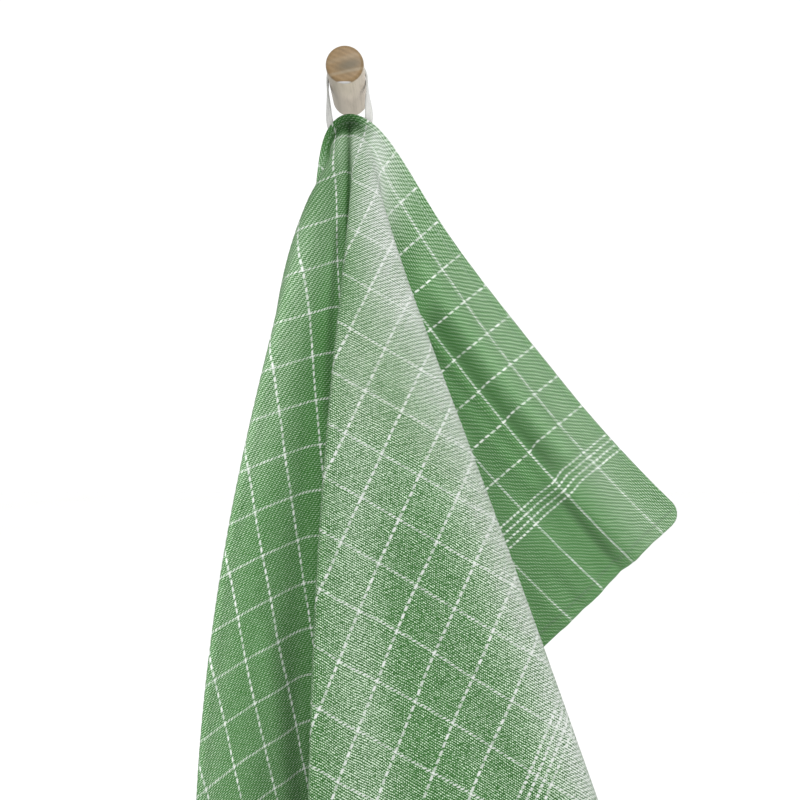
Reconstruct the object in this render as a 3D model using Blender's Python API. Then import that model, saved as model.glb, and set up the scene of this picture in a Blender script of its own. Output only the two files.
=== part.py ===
"""A checked cotton tea towel hung by its tape loop from a round wooden wall peg.

Metres, +Z up. The origin is the centre of the peg's back face, on the wall plane. The viewer
stands at -Y, +X is to the viewer's right, and the wall lies behind the towel at Y = 0.

The towel is one flat rectangle that hangs from the middle of its long top edge. Every straight
line drawn on the flat cloth from that hang point stays a nearly straight ray in the air, and the
folds are the rays where the cloth turns. FOLDS gives one row to each of those rays.
"""

import math
from collections import namedtuple

import bmesh
import bpy
from mathutils import Vector

# ---------------------------------------------------------------- driving dimensions

PEG_DIAMETER = 0.0240
PEG_LENGTH = 0.0700
PEG_RIM_ROUND = 0.0026
PEG_SIDES = 48

TOWEL_LENGTH = 0.700          # along the hanging edge, U
TOWEL_WIDTH = 0.500           # across it, V
CLOTH_THICKNESS = 0.0011
HEM_THICKNESS = 0.0017
HEM_DEPTH = 0.010
CORNER_ROUND = 0.013
EDGE_BOW = 0.006              # how far the loop draws the hanging edge in, towards its middle
EDGE_BOW_START = 0.080        # where along the edge the bow begins
EDGE_BOW_END = 0.220          # and where it is full

HANG_POINT = Vector((0.0015, -0.0400, -0.0225))
GATHER_LENGTH = 0.029         # how soon the flat edge at the hang point falls into its folds
TUCK_LENGTH = 0.030           # how soon the cloth taken up by the crease at the top is used
BIAS_STRETCH = 0.03           # how far cloth gives at 45 degrees to its threads

TAPE_WIDTH = 0.0060
TAPE_THICKNESS = 0.0012
TAPE_SEWN = 0.009             # length of each tape end that lies on the back of the towel
TAPE_RIGHT_U = 0.0130         # where each end is sewn, along the hanging edge
TAPE_LEFT_U = -0.0150
TAPE_PEG_Y = -0.0385          # where the tape crosses the peg
TAPE_LEG_SHARE = 0.36         # share of the tape's mesh in each leg, the rest goes over the peg
TAPE_SEWN_SHARE = 0.30        # share of a leg's mesh in its sewn end
CLEARANCE = 0.0003            # between pieces that touch
SEAT_CLEARANCE = 0.0006       # between the tape and the curved cloth it is sewn to

# One row for each fold ray of the towel, from the right-hand free edge round to the rear one.
# flat    angle of the ray on the flat cloth, degrees from the right half of the long edge
# swing   angle of the hung ray seen from the front, degrees below the horizontal on the right,
#         at the stations 60, 200 and 450 mm from the hang point
# out     how far the ray stands in front of the hang point's plane, millimetres,
#         at the stations 60, 200, 450 and 620 mm
# turn    millimetres of cloth either side of the ray over which the fold is rounded
# bulge   millimetres by which a tight fold is blown up into a soft roll
# tuck    millimetres of the ray taken up by the crease near the top
Fold = namedtuple("Fold", "name flat swing_60 swing_200 swing_450 "
                          "out_60 out_200 out_450 out_620 turn bulge tuck")
FOLDS = (
    Fold("right free edge", 0.0, 51.5, 52.6, 48.3, -3, -14, -34, -36, 0, 0, 0),
    Fold("back panel", 12.0, 65.0, 64.4, 60.0, -1, -6, -28, -34, 14, 0, 0),
    Fold("back fold", 27.5, 80.0, 79.5, 76.0, -3, -9, -28, -34, 12, 0, 0),
    Fold("back return", 35.5, 75.0, 75.0, 74.0, 4, 17, 30, 40, 9, 0, 2),
    Fold("middle right roll", 43.5, 70.5, 69.9, 70.3, 10, 36, 80, 100, 9, 0, 3),
    Fold("middle crest", 56.0, 82.0, 81.8, 81.8, 14, 48, 90, 114, 20, 0, 3),
    Fold("middle left roll", 68.3, 92.5, 93.6, 92.6, 12, 48, 102, 122, 5, 7, 2),
    Fold("inner fold", 84.0, 87.5, 81.0, 79.5, 5, 20, 46, 53, 6, 3, 6),
    Fold("valley", 102.0, 98.0, 97.2, 93.8, -2, -6, -8, -12, 8, 0, 8),
    Fold("left panel", 108.0, 103.0, 102.3, 98.0, 2, 10, 24, 28, 8, 0, 5),
    Fold("left roll", 114.3, 111.5, 107.7, 101.8, 6, 20, 42, 46, 5, 4, 1),
    Fold("left behind", 125.0, 120.5, 103.5, 96.5, -1, -13, -22, -26, 12, 0, 1),
    Fold("rear fold front", 147.0, 90.0, 79.5, 77.0, -11, -21, -23, -26, 9, 0, 0),
    Fold("rear fold back", 153.5, 89.0, 80.0, 77.5, -17, -31, -34, -36, 9, 0, 0),
    Fold("rear free edge", 180.0, 106.0, 102.0, 98.0, -19, -33, -35, -36, 0, 0, 0),
)
WIDEST_TURN = 24.0            # degrees; near the hang point the folds blend into one another
ROLL_LENGTH = 0.014           # half the cloth in a bulge
BULGE_PEAK = 2.1              # makes a bulge as wide as its table value
ROLL_START = 0.060            # distance from the hang point at which the bulges begin
ROLL_GROWTH = 0.100           # and the length over which they grow
FOLD_START = 0.022            # how soon the folds begin to stand out of the flat cloth
SWING_STATIONS = (0.060, 0.200, 0.450)
OUT_STATIONS = (0.0, 0.060, 0.200, 0.450, 0.620)

# Soft folds that don't start at the hang point, one row each: the two ends of the fold on the
# flat cloth, its half width, and how far its middle stands out (a trough is negative), in mm.
SoftFold = namedtuple("SoftFold", "name u_start v_start u_end v_end half_width height")
SOFT_FOLDS = (
    SoftFold("crease crest on the back panel", 135, 50, 275, 48, 17, 3.5),
    SoftFold("crease trough on the back panel", 130, 28, 290, 28, 19, -4.0),
    SoftFold("trough to the right hem", 290, 62, 370, 64, 22, -4.0),
    SoftFold("dip in the middle panel", 150, 258, 250, 330, 40, -6.0),
    SoftFold("swell beside the left roll", 135, 285, 185, 395, 20, 3.0),
    SoftFold("ripple at the lower edge", 240, 420, 250, 530, 26, -5.0),
    SoftFold("crest on the left panel", -96, 340, -112, 470, 16, 3.5),
)

TOWEL_COLUMNS = 92
TOWEL_ROWS = 30
ROW_CROWDING = 1.3            # above 1, rows crowd towards the hang point
FOLD_CROWDING = 0.30          # share of the columns spent on each full turn of the cloth
COLUMN_DISTANCES = (0.070, 0.300)   # where those turns are read
ANGLE_STEPS = 720             # fineness of the search that places the columns
HEM_STEP = 0.0015             # over which the cloth thickens to its hem
TAPE_STEPS = 60
FLAT_STEP = 0.0005            # step on the flat cloth for reading its direction
WELD_DISTANCE = 0.00001       # the first row's points all meet at the hang point


# ---------------------------------------------------------------- the hung cloth

def through_stations(distance, stations, values):
    """A smooth curve through the values at the stations, straight past the last one."""
    last = len(stations) - 1
    slopes = [(values[i + 1] - values[i]) / (stations[i + 1] - stations[i]) for i in range(last)]
    if distance <= stations[0]:
        return values[0]
    if distance >= stations[last]:
        return values[last] + slopes[-1] * (distance - stations[last])
    span = max(i for i in range(last) if stations[i] <= distance)
    start_slope = slopes[span] if span == 0 else (slopes[span - 1] + slopes[span]) / 2
    end_slope = slopes[span] if span == last - 1 else (slopes[span] + slopes[span + 1]) / 2
    length = stations[span + 1] - stations[span]
    t = (distance - stations[span]) / length
    return (values[span] * (1 + 2 * t) * (1 - t) ** 2 + start_slope * length * t * (1 - t) ** 2
            + values[span + 1] * t * t * (3 - 2 * t) + end_slope * length * t * t * (t - 1))


def rounded_ramp(past, half):
    """0 before a bend and one for one past it, rounded over half on either side."""
    if past <= -half:
        return 0.0
    if past >= half:
        return past
    return (past + half) ** 2 / (4 * half)


def turn_angle(fold, distance):
    """Degrees of cloth either side of a fold ray over which it is rounded, at a distance."""
    return min(math.degrees(fold.turn / 1000 / max(distance, 1e-6)), WIDEST_TURN)


def across_folds(flat, distance, values):
    """Straight between the fold rays, and rounded over each ray's own turn."""
    slopes = [(values[i + 1] - values[i]) / (FOLDS[i + 1].flat - FOLDS[i].flat)
              for i in range(len(FOLDS) - 1)]
    total = values[0] + slopes[0] * flat
    for i in range(1, len(FOLDS) - 1):
        bend = slopes[i] - slopes[i - 1]
        total += bend * rounded_ramp(flat - FOLDS[i].flat, turn_angle(FOLDS[i], distance))
    return total


def roll_height(flat, distance):
    """How far the bulges of the tight folds move the cloth towards the viewer."""
    total = 0.0
    for before, fold, after in zip(FOLDS, FOLDS[1:], FOLDS[2:]):
        place = math.radians(flat - fold.flat) * distance / ROLL_LENGTH
        if abs(place) < 1:
            front_first = 1 if before.out_450 > after.out_450 else -1
            growth = min(max(distance - ROLL_START, 0.0) / ROLL_GROWTH, 1.0)
            shape = BULGE_PEAK * place * (1 - place * place) ** 3
            total -= front_first * fold.bulge / 1000 * growth * shape
    return total


def smooth_fade(x):
    """1 at x = 0, falling smoothly to 0 at x = 1 and beyond."""
    x = min(abs(x), 1.0)
    return 1 - x * x * (3 - 2 * x)


def soft_fold_height(u, v):
    """How far the soft folds lift the flat point (u, v) towards the viewer."""
    point = Vector((u, v))
    total = 0.0
    for fold in SOFT_FOLDS:
        start = Vector((fold.u_start, fold.v_start)) / 1000
        end = Vector((fold.u_end, fold.v_end)) / 1000
        along = (end - start).normalized()
        length = (end - start).length
        travelled = (point - start).dot(along)
        aside = (point - start - along * travelled).length
        past_ends = max(-travelled, travelled - length, 0.0)
        half_width = fold.half_width / 1000
        total += (fold.height / 1000 * smooth_fade(aside / half_width)
                  * smooth_fade(past_ends / (2 * half_width)))
    return total


def hung(u, v):
    """Where the flat point (u, v) of the towel hangs."""
    distance = math.hypot(u, v)
    flat = math.degrees(math.atan2(v, u)) if distance > 0 else 90.0
    flat = flat + 360 if flat < -90 else flat
    swing = [through_stations(distance, SWING_STATIONS,
                              (f.swing_60, f.swing_200, f.swing_450)) for f in FOLDS]
    out = [through_stations(distance, OUT_STATIONS,
                            (0, f.out_60, f.out_200, f.out_450, f.out_620)) for f in FOLDS]
    fold_swing = across_folds(flat, distance, swing)
    near_swing = across_folds(flat, distance, [f.swing_60 for f in FOLDS])
    hung_swing = fold_swing + (flat - near_swing) * math.exp(-distance / GATHER_LENGTH)
    ray_out = across_folds(flat, distance, out) / 1000
    ray_out = ray_out * (1 - math.exp(-(distance / FOLD_START) ** 2)) + roll_height(flat, distance)
    tuck = across_folds(flat, distance, [f.tuck for f in FOLDS]) / 1000
    tuck *= 1 - math.exp(-(distance / TUCK_LENGTH) ** 2)
    give = 1 + BIAS_STRETCH * math.sin(2 * math.radians(flat)) ** 2
    length = (distance - tuck) * give
    drop = math.sqrt(max(length ** 2 - ray_out ** 2, 0.0))
    turn = math.radians(hung_swing)
    lift = ray_out + soft_fold_height(u, v)
    return HANG_POINT + Vector((drop * math.cos(turn), -lift, -drop * math.sin(turn)))


def wallward_normal(u, v):
    """The cloth's own normal at the flat point (u, v), on the side of the wall."""
    along_u = hung(u + FLAT_STEP, v) - hung(u - FLAT_STEP, v)
    along_v = hung(u, v + FLAT_STEP) - hung(u, v)
    normal = along_u.cross(along_v).normalized()
    return normal if normal.y > 0 else -normal


# ---------------------------------------------------------------- the flat towel

def reach(flat, inset=0.0):
    """Distance from the hang point along a flat ray to the towel's edge, or to a line inside it."""
    sideways = (TOWEL_LENGTH / 2 - inset) / max(abs(math.cos(flat)), 1e-9)
    downwards = (TOWEL_WIDTH - inset) / max(math.sin(flat), 1e-9)
    return min(sideways, downwards)


def turns_at(distance, angles):
    """How far the hung cloth turns at each step between the flat angles, at one distance."""
    points = []
    for angle in angles:
        flat = math.radians(angle)
        length = min(distance, reach(flat))
        points.append(hung(length * math.cos(flat), length * math.sin(flat)))
    steps = [end - start for start, end in zip(points, points[1:])]
    return [before.angle(after) for before, after in zip(steps[:1] + steps, steps + steps[-1:])]


def column_angles():
    """Flat angles of the mesh's columns, closer together where the hung cloth turns."""
    angles = [180 * step / ANGLE_STEPS for step in range(ANGLE_STEPS + 1)]
    turns = [max(pair) for pair in zip(*(turns_at(far, angles) for far in COLUMN_DISTANCES))]
    weights = [1 / ANGLE_STEPS + FOLD_CROWDING * turn / math.tau for turn in turns[1:]]
    total = sum(weights)
    chosen = [0.0]
    passed = 0.0
    for angle, weight in zip(angles[1:], weights):
        passed += weight
        if passed / total * TOWEL_COLUMNS >= len(chosen) - 1e-9:
            chosen.append(angle)
    corner = math.degrees(math.atan2(TOWEL_WIDTH, TOWEL_LENGTH / 2))
    for exact in (corner, 180 - corner):
        nearest = min(range(len(chosen)), key=lambda i: abs(chosen[i] - exact))
        chosen[nearest] = exact
    return chosen


def row_distance(row, flat):
    """Distance of a row from the hang point along a flat ray; the last three mark the hem."""
    insets = {TOWEL_ROWS: 0.0, TOWEL_ROWS - 1: HEM_DEPTH, TOWEL_ROWS - 2: HEM_DEPTH + HEM_STEP}
    if row in insets:
        return reach(flat, insets[row])
    share = (row / (TOWEL_ROWS - 2)) ** ROW_CROWDING
    return share * reach(flat, HEM_DEPTH + HEM_STEP)


def round_corner(u, v):
    """Push a flat point near a corner of the towel onto the corner's round."""
    side = 1 if u > 0 else -1
    beyond_u = abs(u) - (TOWEL_LENGTH / 2 - CORNER_ROUND)
    beyond_top = CORNER_ROUND - v
    beyond_bottom = v - (TOWEL_WIDTH - CORNER_ROUND)
    for beyond_v, down in ((beyond_top, -1), (beyond_bottom, 1)):
        if beyond_u > 0 and beyond_v > 0:
            scale = max(beyond_u, beyond_v) / math.hypot(beyond_u, beyond_v)
            u = side * (TOWEL_LENGTH / 2 - CORNER_ROUND + beyond_u * scale)
            edge = CORNER_ROUND if down < 0 else TOWEL_WIDTH - CORNER_ROUND
            v = edge + down * beyond_v * scale
    return u, v


def bow_edge(u, v):
    """Move a flat point near the hanging edge out onto that edge's bow."""
    share = (abs(u) - EDGE_BOW_START) / (EDGE_BOW_END - EDGE_BOW_START)
    bow = EDGE_BOW * (1 - smooth_fade(min(max(share, 0.0), 1.0)))
    return v - bow * smooth_fade(v / EDGE_BOW_END)


def hem_weight(u, v):
    """1 on the hem's folded cloth, 0 on the single cloth inside it."""
    inside = min(TOWEL_LENGTH / 2 - abs(u), v, TOWEL_WIDTH - v)
    return 1.0 if inside < HEM_DEPTH + HEM_STEP / 2 else 0.0


# ---------------------------------------------------------------- materials and objects

def plain_material(name, colour, roughness):
    """A Principled material with one colour."""
    material = bpy.data.materials.new(name)
    material.use_nodes = True
    shader = material.node_tree.nodes["Principled BSDF"]
    shader.inputs["Base Color"].default_value = (*colour, 1.0)
    shader.inputs["Roughness"].default_value = roughness
    shader.inputs["Metallic"].default_value = 0.0
    return material


def add_object(name, bm, material, parent):
    """Make an object of a bmesh and hang it under the parent empty."""
    bmesh.ops.recalc_face_normals(bm, faces=bm.faces)
    mesh = bpy.data.meshes.new(name)
    bm.to_mesh(mesh)
    bm.free()
    mesh.materials.append(material)
    obj = bpy.data.objects.new(name, mesh)
    obj.parent = parent
    bpy.context.scene.collection.objects.link(obj)
    return obj


def add_thickness(obj, thickness):
    """Give a single-layer sheet its thickness, half on each side."""
    solid = obj.modifiers.new("thickness", "SOLIDIFY")
    solid.thickness = thickness
    solid.offset = 0.0
    solid.use_even_offset = False
    solid.use_quality_normals = True
    solid.use_rim = True
    return solid


def make_towel(parent):
    """The whole towel with its hems, one sheet hung in its folds."""
    bm = bmesh.new()
    bmesh.ops.create_grid(bm, x_segments=TOWEL_COLUMNS, y_segments=TOWEL_ROWS, size=0.5)
    angles = column_angles()
    group_layer = bm.verts.layers.deform.verify()
    for vert in bm.verts:
        column = round((vert.co.x + 0.5) * TOWEL_COLUMNS)
        row = round((vert.co.y + 0.5) * TOWEL_ROWS)
        flat = math.radians(angles[column])
        distance = row_distance(row, flat)
        u, v = round_corner(distance * math.cos(flat), max(distance * math.sin(flat), 0.0))
        vert.co = hung(u, bow_edge(u, v))
        vert[group_layer][0] = hem_weight(u, v)
    bmesh.ops.remove_doubles(bm, verts=bm.verts, dist=WELD_DISTANCE)
    cotton = plain_material("green_check_cotton", (0.20, 0.40, 0.19), 0.9)
    obj = add_object("towel", bm, cotton, parent)
    obj.vertex_groups.new(name="hem")
    solid = add_thickness(obj, HEM_THICKNESS)
    solid.vertex_group = "hem"
    solid.thickness_vertex_group = CLOTH_THICKNESS / HEM_THICKNESS
    obj.data.shade_smooth()
    return obj


def tape_leg(u, share, side):
    """A point on one leg of the tape: share 0 at its sewn end, 1 beside the peg.

    side is -1 or 1 for the two edges of the tape.
    """
    across = math.copysign(1.0, u)
    seat = (HEM_THICKNESS + TAPE_THICKNESS) / 2 + SEAT_CLEARANCE
    edge_u = u + side * across * TAPE_WIDTH / 2
    if share <= TAPE_SEWN_SHARE:
        v = TAPE_SEWN * (1 - share / TAPE_SEWN_SHARE)
        return hung(edge_u, v) + wallward_normal(edge_u, v) * seat
    start = hung(u, 0) + wallward_normal(u, 0) * seat
    start_edge = hung(edge_u, 0) + wallward_normal(edge_u, 0) * seat
    start_width = (start_edge - start) * side
    rise = (hung(u, 0) - hung(u, TAPE_SEWN / 2)).normalized()
    radius = PEG_DIAMETER / 2 + CLEARANCE + TAPE_THICKNESS / 2
    end = Vector((across * radius, TAPE_PEG_Y, 0.0))
    pull = (end - start).length / 3
    t = (share - TAPE_SEWN_SHARE) / (1 - TAPE_SEWN_SHARE)
    first_handle = start + rise * pull
    last_handle = end - Vector((0, 0, pull))
    centre = (start * (1 - t) ** 3 + first_handle * 3 * t * (1 - t) ** 2
              + last_handle * 3 * t * t * (1 - t) + end * t ** 3)
    end_width = Vector((0, TAPE_WIDTH / 2, 0))
    blend = 1 - smooth_fade(t)
    width = (start_width * (1 - blend) + end_width * blend).normalized() * TAPE_WIDTH / 2
    return centre + width * side


def tape_point(share, side):
    """A point on the tape, from its right sewn end over the peg to its left one."""
    if share < TAPE_LEG_SHARE:
        return tape_leg(TAPE_RIGHT_U, share / TAPE_LEG_SHARE, side)
    if share > 1 - TAPE_LEG_SHARE:
        return tape_leg(TAPE_LEFT_U, (1 - share) / TAPE_LEG_SHARE, side)
    angle = math.pi * (share - TAPE_LEG_SHARE) / (1 - 2 * TAPE_LEG_SHARE)
    radius = PEG_DIAMETER / 2 + CLEARANCE + TAPE_THICKNESS / 2
    return Vector((radius * math.cos(angle), TAPE_PEG_Y + side * TAPE_WIDTH / 2,
                   radius * math.sin(angle)))


def make_hanging_loop(parent):
    """The cotton tape sewn to the back of the towel's hem and slipped over the peg."""
    bm = bmesh.new()
    bmesh.ops.create_grid(bm, x_segments=TAPE_STEPS, y_segments=2, size=0.5)
    for vert in bm.verts:
        vert.co = tape_point(vert.co.x + 0.5, 2 * vert.co.y)
    tape = plain_material("white_cotton_tape", (0.78, 0.78, 0.76), 0.9)
    obj = add_object("hanging_loop", bm, tape, parent)
    add_thickness(obj, TAPE_THICKNESS)
    obj.data.shade_smooth()
    return obj


def make_peg(parent):
    """The turned wooden peg: a dowel with a rounded rim at its free end."""
    bm = bmesh.new()
    bmesh.ops.create_cone(bm, cap_ends=True, segments=PEG_SIDES, radius1=PEG_DIAMETER / 2,
                          radius2=PEG_DIAMETER / 2, depth=PEG_LENGTH)
    front_rim = [edge for edge in bm.edges if all(vert.co.z > 0 for vert in edge.verts)]
    bmesh.ops.bevel(bm, geom=front_rim, offset=PEG_RIM_ROUND, offset_type="OFFSET", segments=4,
                    affect="EDGES", profile=0.5, clamp_overlap=True, material=-1)
    for vert in bm.verts:
        vert.co = Vector((vert.co.x, -(vert.co.z + PEG_LENGTH / 2), vert.co.y))
    obj = add_object("peg", bm, plain_material("oiled_wood", (0.42, 0.28, 0.14), 0.5), parent)
    obj.data.shade_smooth()
    obj.data.set_sharp_from_angle(angle=math.radians(40))
    return obj


def main():
    for obj in list(bpy.data.objects):
        bpy.data.objects.remove(obj, do_unlink=True)
    wall_mount = bpy.data.objects.new("wall_mount", None)
    bpy.context.scene.collection.objects.link(wall_mount)
    make_peg(wall_mount)
    make_hanging_loop(wall_mount)
    make_towel(wall_mount)


main()
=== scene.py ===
# %% [markdown]
# # A checked tea towel on a wooden peg
# A cotton tea towel hangs by a short tape loop from a round wooden peg. The CAD model gives the
# true sizes and places; this lesson dresses it with cloth, tape and wood. We could import the CAD
# solids and only colour them, but cloth needs a finer sheet than a solid has. So the towel and its
# loop are made again here from the same fold table, and stand for the CAD solids.

# %% Load the fixed frame
import math
from collections import namedtuple
from functools import lru_cache

import bmesh
import bpy
import numpy as np
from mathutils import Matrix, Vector


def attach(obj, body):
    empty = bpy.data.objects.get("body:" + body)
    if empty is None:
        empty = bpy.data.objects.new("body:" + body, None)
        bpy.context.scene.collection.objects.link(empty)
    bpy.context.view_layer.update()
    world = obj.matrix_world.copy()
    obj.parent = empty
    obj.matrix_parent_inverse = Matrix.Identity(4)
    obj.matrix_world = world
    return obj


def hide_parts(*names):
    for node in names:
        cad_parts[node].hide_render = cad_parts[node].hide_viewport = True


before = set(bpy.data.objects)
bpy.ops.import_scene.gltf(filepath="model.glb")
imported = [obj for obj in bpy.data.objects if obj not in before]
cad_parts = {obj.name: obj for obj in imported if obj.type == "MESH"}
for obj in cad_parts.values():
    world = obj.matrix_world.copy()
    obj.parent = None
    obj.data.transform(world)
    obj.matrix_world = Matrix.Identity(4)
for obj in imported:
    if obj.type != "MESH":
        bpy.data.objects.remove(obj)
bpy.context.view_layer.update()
print("CAD nodes:", sorted(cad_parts))

# %% [markdown]
# ## The camera
# The photograph was taken from in front of the towel, level with its middle, so the peg above is
# seen a little from below. A camera could be turned until the picture looks right, but its place
# follows from two facts: how many pixels a metre takes at the hang point, and where that point is
# in the picture. Everything is then measured from there.


# %% Place the camera
def add_object(name, data):
    """A new object at the origin, linked to the scene."""
    thing = bpy.data.objects.new(name, data)
    bpy.context.scene.collection.objects.link(thing)
    return thing


PHOTO_SIZE = 800                                  # pixels, both ways
HANG_PIXEL = (349.5, 114.0)                       # where the hang point shows in the photograph
PIXELS_PER_METRE = 1530.0                         # at the hang point's distance
CAMERA_DISTANCE = 0.620                           # from the hang point's plane
HANG_POINT = Vector((0.0015, -0.0400, -0.0225))   # where the towel's edge is held
SENSOR_WIDTH = 36.0                               # millimetres

camera_data = bpy.data.cameras.new("photo_camera")
camera_data.sensor_width = SENSOR_WIDTH
camera_data.lens = SENSOR_WIDTH * PIXELS_PER_METRE * CAMERA_DISTANCE / PHOTO_SIZE
camera_data.clip_start = 0.01
camera = add_object("photo_camera", camera_data)
camera.location = HANG_POINT + Vector((
    (PHOTO_SIZE / 2 - HANG_PIXEL[0]) / PIXELS_PER_METRE,
    -CAMERA_DISTANCE,
    -(PHOTO_SIZE / 2 - HANG_PIXEL[1]) / PIXELS_PER_METRE,
))
camera.rotation_euler = (math.pi / 2, 0.0, 0.0)
bpy.context.scene.camera = camera
print("Camera at", [round(x, 4) for x in camera.location], "lens", round(camera_data.lens, 1), "mm")

# %% [markdown]
# ## The light and the floor
# The photograph has a plain white surround and soft daylight from the upper right. One lamp would
# cast hard shadows between the folds, so a white world lights every fold a little and one large
# soft panel gives the light a direction. The pale floor lies well below the towel.

# %% Set up the studio
FLOOR_HEIGHT = -0.95
FLOOR_SIZE = 14.0
WORLD_STRENGTH = 1.08          # just enough for the surround and the floor to show pure white
TOWEL_MIDDLE = Vector((0.05, -0.06, -0.30))
PANEL_PLACE = Vector((0.5, -2.1, 0.9))
PANEL_SIZE = 1.2
PANEL_POWER = 52.0             # watts

panel_data = bpy.data.lights.new("daylight_panel", "AREA")
panel_data.shape = "SQUARE"
panel_data.size = PANEL_SIZE
panel_data.energy = PANEL_POWER
panel = add_object("daylight_panel", panel_data)
panel.location = PANEL_PLACE
panel.rotation_euler = (TOWEL_MIDDLE - PANEL_PLACE).to_track_quat("-Z", "Y").to_euler()

world = bpy.data.worlds.new("white_surround")
world.use_nodes = True
background = world.node_tree.nodes["Background"]
background.inputs["Color"].default_value = (1.0, 1.0, 1.0, 1.0)
background.inputs["Strength"].default_value = WORLD_STRENGTH
bpy.context.scene.world = world
bpy.context.scene.view_settings.view_transform = "Standard"

floor_bm = bmesh.new()
bmesh.ops.create_grid(floor_bm, x_segments=4, y_segments=4, size=FLOOR_SIZE / 2)
bmesh.ops.translate(floor_bm, verts=floor_bm.verts, vec=(0.0, 0.0, FLOOR_HEIGHT))
floor_mesh = bpy.data.meshes.new("pale_floor")
floor_bm.to_mesh(floor_mesh)
floor_bm.free()
floor = add_object("pale_floor", floor_mesh)
print("Floor", FLOOR_SIZE, "m wide at height", FLOOR_HEIGHT, "m")

# %% [markdown]
# ## Writing materials as sums
# A weave is arithmetic on the place along and across the cloth. Built by hand that is dozens of
# Math nodes, so one small class wraps a socket and turns `a * b + 1` into nodes, and one method
# makes any other node from its settings and sockets.


# %% Sockets that add and multiply
class Signal:
    """One output socket of a finish. Arithmetic on signals and numbers adds Math nodes."""

    def __init__(self, finish, socket):
        self.finish = finish
        self.socket = socket

    def __add__(self, other):
        return self.finish.maths("ADD", self, other)

    def __sub__(self, other):
        return self.finish.maths("SUBTRACT", self, other)

    def __rsub__(self, other):
        return self.finish.maths("SUBTRACT", other, self)

    def __mul__(self, other):
        return self.finish.maths("MULTIPLY", self, other)

    def __truediv__(self, other):
        return self.finish.maths("DIVIDE", self, other)

    def __abs__(self):
        return self.finish.maths("ABSOLUTE", self)

    __radd__ = __add__
    __rmul__ = __mul__


class Finish:
    """A procedural material: its node tree, its Principled shader and short ways to add nodes."""

    def __init__(self, name, colour, roughness):
        self.material = bpy.data.materials.new(name)
        self.material.use_nodes = True
        self.tree = self.material.node_tree
        self.shader = self.tree.nodes["Principled BSDF"]
        self.shader.inputs["Base Color"].default_value = (*colour, 1.0)
        self.shader.inputs["Roughness"].default_value = roughness

    def feed(self, socket, value):
        """Link a signal into a socket, or set the socket to a number or a colour."""
        if isinstance(value, Signal):
            self.tree.links.new(value.socket, socket)
        else:
            socket.default_value = value

    def node(self, kind, settings, inputs, output=0):
        """Add a node, set its settings and then its sockets, and return one of its outputs."""
        node = self.tree.nodes.new("ShaderNode" + kind)
        for name, value in settings.items():
            if name == "stops":
                while len(node.color_ramp.elements) < len(value):
                    node.color_ramp.elements.new(0.5)
                for element, (position, colour) in zip(node.color_ramp.elements, value):
                    element.position = position
                    element.color = (*colour, 1.0)
            else:
                setattr(node, name, value)
        for name, value in inputs.items():
            self.feed(node.inputs[name], value)
        return Signal(self, node.outputs[output])

    def maths(self, operation, *values):
        """One Math node on up to three signals or numbers."""
        return self.node("Math", {"operation": operation}, dict(enumerate(values)))

    def step(self, value, low, high):
        """0 below low and 1 above high, with a soft step between; low may be the larger."""
        settings = {"interpolation_type": "SMOOTHSTEP"}
        return self.node("MapRange", settings, {"Value": value, "From Min": low, "From Max": high})

    def noise(self, place, scale, detail=2.0, roughness=0.5):
        """Cloudy noise around 0.5 at a place vector."""
        inputs = {"Vector": place, "Scale": scale, "Detail": detail, "Roughness": roughness}
        return self.node("TexNoise", {}, inputs)

    def dice(self, x, y):
        """A random number from 0 to 1 for every pair of whole numbers."""
        place = self.node("CombineXYZ", {}, {"X": x, "Y": y})
        return self.node("TexWhiteNoise", {"noise_dimensions": "2D"}, {"Vector": place})

    def part(self, place, axis):
        """The X, Y or Z of a place vector."""
        return self.node("SeparateXYZ", {}, {"Vector": place}, output=axis)

    def scaled(self, colour, factor):
        """A colour made lighter or darker by a factor."""
        inputs = {"Vector": colour, "Scale": factor}
        return self.node("VectorMath", {"operation": "SCALE"}, inputs)

    def mix(self, share, first, second):
        """A blend of two colours: the first at share 0, the second at share 1."""
        settings = {"data_type": "RGBA"}
        return self.node("Mix", settings, {0: share, 6: first, 7: second}, output=2)

    def bump(self, height, distance, strength=1.0):
        """Feed the shader's Normal from a height signal; distance is in metres."""
        inputs = {"Height": height, "Distance": distance, "Strength": strength}
        self.feed(self.shader.inputs["Normal"], self.node("Bump", {}, inputs))


print("Material helpers ready")

# %% [markdown]
# ## The floor's paint
# A matt studio floor is never one colour. A broad, faint cloudiness is enough.

# %% Paint the floor
floor_finish = Finish("matt_studio_floor", (0.9, 0.9, 0.9), 0.9)
floor_place = floor_finish.node("TexCoord", {}, {}, output="Object")
floor_cloud = floor_finish.noise(floor_place, 1.5)
floor_paint = floor_finish.mix(floor_cloud, (0.90, 0.90, 0.89, 1.0), (0.94, 0.94, 0.94, 1.0))
floor_finish.feed(floor_finish.shader.inputs["Base Color"], floor_paint)
floor_mesh.materials.append(floor_finish.material)
print("Floor painted")

# %% [markdown]
# ## How a hung cloth folds
# The towel is a flat rectangle held at the middle of its long top edge. Gravity pulls every thread
# line from that point straight, so the folds are rays that fan out from it. A cloth simulation
# would find some folds of its own; to get these folds, each ray is one row of a table, and the
# cloth turns smoothly from ray to ray.

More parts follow.
